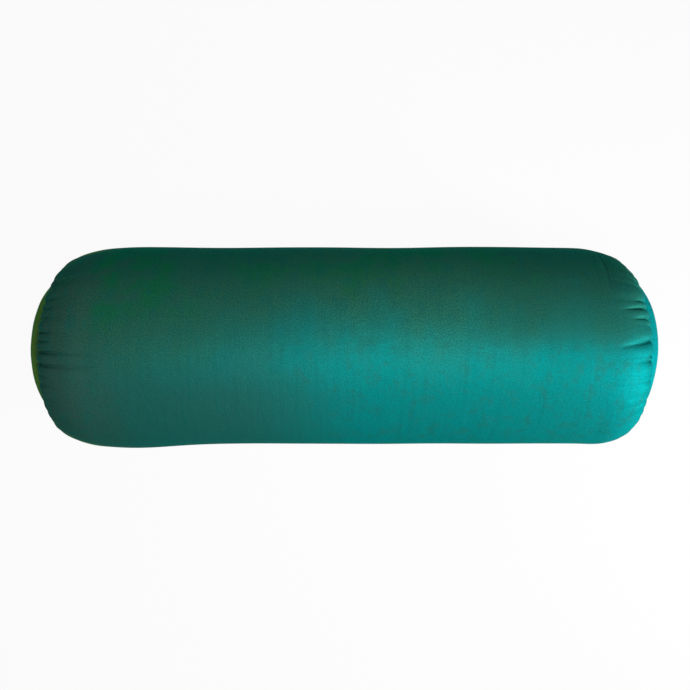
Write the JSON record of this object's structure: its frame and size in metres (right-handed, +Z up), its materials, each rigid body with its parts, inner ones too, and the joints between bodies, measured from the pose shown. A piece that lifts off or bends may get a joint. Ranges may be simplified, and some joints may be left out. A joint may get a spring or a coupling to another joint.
{
  "type": "round yoga bolster",
  "caption": "Round firm bolster: a cotton tube gathered into two domed end panels, closed by a long zip over a calico liner and packed filling.",
  "frame": {"origin": "on the floor under the middle of the bolster, at the centre of its settled underside", "axes": "+X along the length towards the end where the zip closes, +Y towards the back, where the zip is, +Z up"},
  "size_m": [0.6918, 0.2297, 0.2228],
  "materials": {
    "cover_cotton": "matte",
    "zip_tape": "matte",
    "zip_teeth": "satin",
    "zip_metal": "satin",
    "calico": "matte",
    "filling_fibre": "matte"
  },
  "bodies": {
    "bolster": {"cover_body_panel": "cover_cotton", "cover_end_panel_left": "cover_cotton", "cover_end_panel_right": "cover_cotton", "zip_tape_upper": "zip_tape", "zip_tape_lower": "zip_tape", "zip_teeth_upper": "zip_teeth", "zip_teeth_lower": "zip_teeth", "zip_bottom_stop": "zip_metal", "zip_top_stop_upper": "zip_metal", "zip_top_stop_lower": "zip_metal", "liner_body": "calico", "liner_end_left": "calico", "liner_end_right": "calico", "filling": "filling_fibre"},
    "slider": {"zip_slider": "zip_metal"},
    "pull_tab": {"zip_pull_tab": "zip_metal"}
  },
  "joints": [
    {"name": "zip_slide", "type": "slide", "parent": "bolster", "child": "slider", "axis": [1, 0, 0], "range_m": [-0.4094, 0]},
    {"name": "pull_tab_swing", "type": "hinge", "parent": "slider", "child": "pull_tab", "pos_m": [0.2047, 0.11118, 0.06753], "axis": [0, -0.342, -0.9397], "range_deg": [0, 180]}
  ]
}
